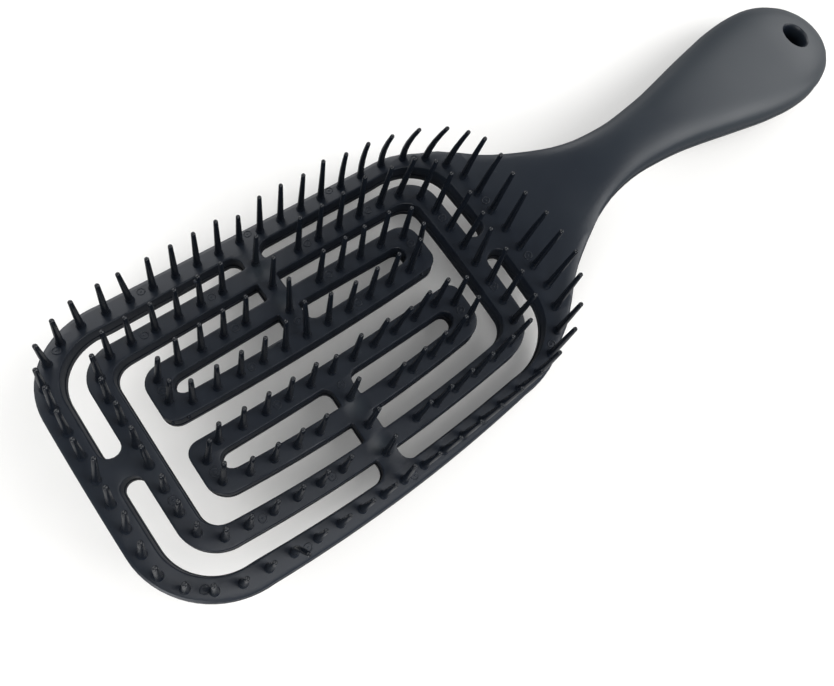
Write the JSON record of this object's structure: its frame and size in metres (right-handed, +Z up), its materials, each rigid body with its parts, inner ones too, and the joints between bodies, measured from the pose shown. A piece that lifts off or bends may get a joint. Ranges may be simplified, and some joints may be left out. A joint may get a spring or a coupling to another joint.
{
  "type": "detangling brush",
  "caption": "Vented detangling hairbrush: a curved head of open ribs with moulded pins, and a flared hollow handle with a hanging hole.",
  "frame": {"origin": "middle of the box round the whole brush, at the level it rests on, lying on its back with its pins up", "axes": "+X from the tip of the head to the end of the handle, +Y to the left when looking along +X with the pins up, +Z up"},
  "size_m": [0.2456, 0.0854, 0.0439],
  "materials": {
    "front_plastic": "satin black, front moulding, pins and handle front",
    "back_plastic": "satin black, back moulding and handle back"
  },
  "bodies": {
    "root": {"tip_rim_strip": "front_plastic", "root_rim_strip": "front_plastic", "left_rim_strip": "front_plastic", "right_rim_strip": "front_plastic", "left_tip_rim_corner": "front_plastic", "left_root_rim_corner": "front_plastic", "right_tip_rim_corner": "front_plastic", "right_root_rim_corner": "front_plastic", "tip_ring_strip": "front_plastic", "root_ring_strip": "front_plastic", "left_tip_ring_corner": "front_plastic", "left_root_ring_corner": "front_plastic", "right_tip_ring_corner": "front_plastic", "right_root_ring_corner": "front_plastic", "left_ring_tip_strip": "front_plastic", "left_ring_root_strip": "front_plastic", "right_ring_tip_strip": "front_plastic", "right_ring_root_strip": "front_plastic", "left_crossbar_strip": "front_plastic", "right_crossbar_strip": "front_plastic", "tip_bridge_strip": "front_plastic", "root_bridge_strip": "front_plastic", "left_loop_inner_strip": "front_plastic", "left_loop_outer_tip_strip": "front_plastic", "left_loop_outer_root_strip": "front_plastic", "left_loop_tip_end_strip": "front_plastic", "left_loop_root_end_strip": "front_plastic", "right_loop_inner_strip": "front_plastic", "right_loop_outer_tip_strip": "front_plastic", "right_loop_outer_root_strip": "front_plastic", "right_loop_tip_end_strip": "front_plastic", "right_loop_root_end_strip": "front_plastic", "tip_rim_back": "back_plastic", "root_rim_back": "back_plastic", "left_rim_back": "back_plastic", "right_rim_back": "back_plastic", "left_tip_rim_corner_back": "back_plastic", "left_root_rim_corner_back": "back_plastic", "right_tip_rim_corner_back": "back_plastic", "right_root_rim_corner_back": "back_plastic", "tip_ring_back": "back_plastic", "root_ring_back": "back_plastic", "left_tip_ring_back": "back_plastic", "left_root_ring_back": "back_plastic", "right_tip_ring_back": "back_plastic", "right_root_ring_back": "back_plastic", "left_loop_tip_back": "back_plastic", "left_loop_root_back": "back_plastic", "right_loop_tip_back": "back_plastic", "right_loop_root_back": "back_plastic", "left_crossbar_back": "back_plastic", "right_crossbar_back": "back_plastic", "tip_bridge_back": "back_plastic", "root_bridge_back": "back_plastic", "handle_front_shell": "front_plastic", "handle_back_shell": "back_plastic"}
  },
  "joints": []
}
